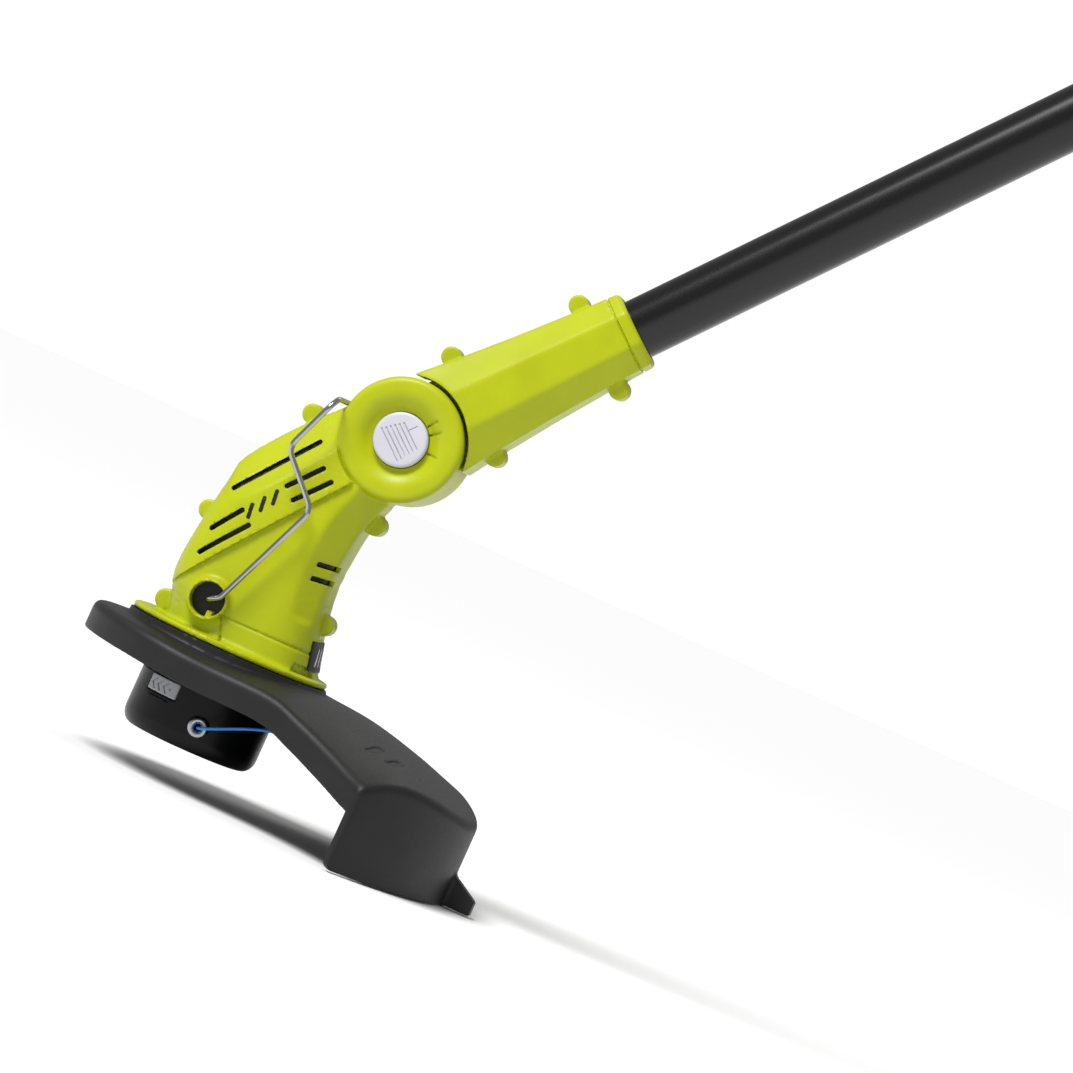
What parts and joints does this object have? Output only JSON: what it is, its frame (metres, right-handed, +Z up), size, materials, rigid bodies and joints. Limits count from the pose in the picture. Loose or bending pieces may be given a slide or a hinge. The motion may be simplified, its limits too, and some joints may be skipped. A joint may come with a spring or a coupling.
{
  "type": "string trimmer",
  "caption": "Cordless string trimmer with a pivoting motor head, debris guard, line spool, fold-out wire guide, telescoping shaft, front handle and rear battery handle.",
  "frame": {"origin": "centre of the spool cap's flat bottom, on the spool's spin axis", "axes": "+Z up along the spool's spin axis, +X back towards the person holding the tool, -Y to that person's left; the shaft rises back at 50 degrees in the XZ plane"},
  "size_m": [0.9686, 0.2322, 1.2109],
  "materials": {
    "lime_plastic": "satin",
    "charcoal_plastic": "satin",
    "black_plastic": "semi gloss",
    "grip_rubber": "matt",
    "black_tube": "gloss",
    "pale_grey_plastic": "satin",
    "line_blue": "semi gloss",
    "chrome_wire": "polished",
    "copper_windings": "satin",
    "steel": "satin"
  },
  "bodies": {
    "root": {"upper_tube": "steel", "front_handle_bracket": "black_plastic", "front_handle_bolt": "steel", "rear_shell_left": "lime_plastic", "rear_shell_right": "lime_plastic", "rear_screw_1": "steel", "rear_screw_2": "steel", "rear_screw_3": "steel", "switch_module": "charcoal_plastic", "trigger_spring": "steel"},
    "front_handle": {"front_handle": "grip_rubber"},
    "front_handle_knob": {"front_handle_knob": "lime_plastic"},
    "trigger": {"trigger": "black_plastic"},
    "lock_off_button": {"lock_off_button": "black_plastic"},
    "battery": {"battery": "charcoal_plastic"},
    "battery_latch_left": {"battery_latch_left": "lime_plastic"},
    "battery_latch_right": {"battery_latch_right": "lime_plastic"},
    "lower_shaft": {"lower_tube": "black_tube", "clamp_collar": "black_plastic", "clamp_pin": "steel", "collar_shell_left": "lime_plastic", "collar_shell_right": "lime_plastic", "collar_screw_1": "steel", "collar_screw_2": "steel", "collar_screw_3": "steel", "collar_screw_4": "steel"},
    "clamp_lever": {"clamp_lever": "lime_plastic"},
    "head": {"head_shell_left": "lime_plastic", "head_shell_right": "lime_plastic", "head_screw_1": "steel", "head_screw_2": "steel", "head_screw_3": "steel", "head_screw_4": "steel", "head_screw_5": "steel", "motor_can": "steel", "motor_mount": "charcoal_plastic", "guard": "charcoal_plastic", "guard_screw_1": "steel", "guard_screw_2": "steel", "guard_screw_3": "steel", "cutter_blade": "steel", "cutter_screw": "steel", "rear_badge": "black_plastic", "pivot_bolt": "steel", "button_spring": "steel"},
    "pivot_button": {"pivot_button": "pale_grey_plastic"},
    "wire_guide": {"wire_guide": "chrome_wire"},
    "spool": {"spool_cap": "black_plastic", "line_eyelet": "steel", "spool_hub": "pale_grey_plastic", "spool_reel": "black_plastic", "wound_line": "line_blue", "feed_spring": "steel", "spindle": "steel", "motor_armature": "copper_windings", "cooling_fan": "charcoal_plastic", "cutting_line": "line_blue"},
    "cap_latch_1": {"cap_latch_1": "pale_grey_plastic"},
    "cap_latch_2": {"cap_latch_2": "pale_grey_plastic"}
  },
  "joints": [
    {"name": "shaft_slide", "type": "slide", "parent": "root", "child": "lower_shaft", "axis": [0.6428, 0, 0.766], "range_m": [0, 0.18]},
    {"name": "head_pivot", "type": "hinge", "parent": "lower_shaft", "child": "head", "pos_m": [0.041, 0, 0.193], "axis": [0, -1, 0], "range_deg": [0, 47]},
    {"name": "pivot_button_press", "type": "slide", "parent": "head", "child": "pivot_button", "axis": [0, 1, 0], "range_m": [0, 0.004], "stiffness_N_per_m": 900, "springref_m": -0.002, "deforming": ["button_spring"]},
    {"name": "wire_guide_swing", "type": "hinge", "parent": "head", "child": "wire_guide", "pos_m": [-0.0148, 0, 0.077], "axis": [0, -1, 0], "range_deg": [0, 122]},
    {"name": "spool_spin", "type": "hinge", "parent": "head", "child": "spool", "pos_m": [0, 0, 0], "axis": [0, 0, 1], "continuous": true},
    {"name": "cap_latch_1_press", "type": "slide", "parent": "spool", "child": "cap_latch_1", "axis": [0.515, 0.8572, 0], "range_m": [0, 0.0025], "stiffness_N_per_m": 900, "springref_m": -0.001},
    {"name": "cap_latch_2_press", "type": "slide", "parent": "spool", "child": "cap_latch_2", "axis": [-0.515, -0.8572, 0], "range_m": [0, 0.0025], "stiffness_N_per_m": 900, "springref_m": -0.001},
    {"name": "clamp_lever_swing", "type": "hinge", "parent": "lower_shaft", "child": "clamp_lever", "pos_m": [0.47307, 0, 0.66591], "axis": [0, -1, 0], "range_deg": [0, 100]},
    {"name": "front_handle_tilt", "type": "hinge", "parent": "root", "child": "front_handle", "pos_m": [0.57173, 0, 0.87684], "axis": [0, 1, 0], "range_deg": [-30, 30]},
    {"name": "front_knob_turn", "type": "hinge", "parent": "root", "child": "front_handle_knob", "pos_m": [0.57173, 0, 0.87684], "axis": [0, 1, 0], "continuous": true},
    {"name": "trigger_pull", "type": "hinge", "parent": "root", "child": "trigger", "pos_m": [0.72061, 0, 0.98037], "axis": [0, -1, 0], "range_deg": [0, 6], "stiffness_Nm_per_rad": 1.2, "springref_deg": -5.73, "deforming": ["trigger_spring"]},
    {"name": "lock_off_slide", "type": "slide", "parent": "root", "child": "lock_off_button", "axis": [-0.6428, 0, -0.766], "range_m": [0, 0.005], "stiffness_N_per_m": 500, "springref_m": -0.001},
    {"name": "battery_slide", "type": "slide", "parent": "root", "child": "battery", "axis": [0.6428, 0, 0.766], "range_m": [0, 0.06]},
    {"name": "battery_latch_left_press", "type": "slide", "parent": "battery", "child": "battery_latch_left", "axis": [0, 1, 0], "range_m": [0, 0.0025], "stiffness_N_per_m": 900, "springref_m": -0.001},
    {"name": "battery_latch_right_press", "type": "slide", "parent": "battery", "child": "battery_latch_right", "axis": [0, -1, 0], "range_m": [0, 0.0025], "stiffness_N_per_m": 900, "springref_m": -0.001}
  ]
}
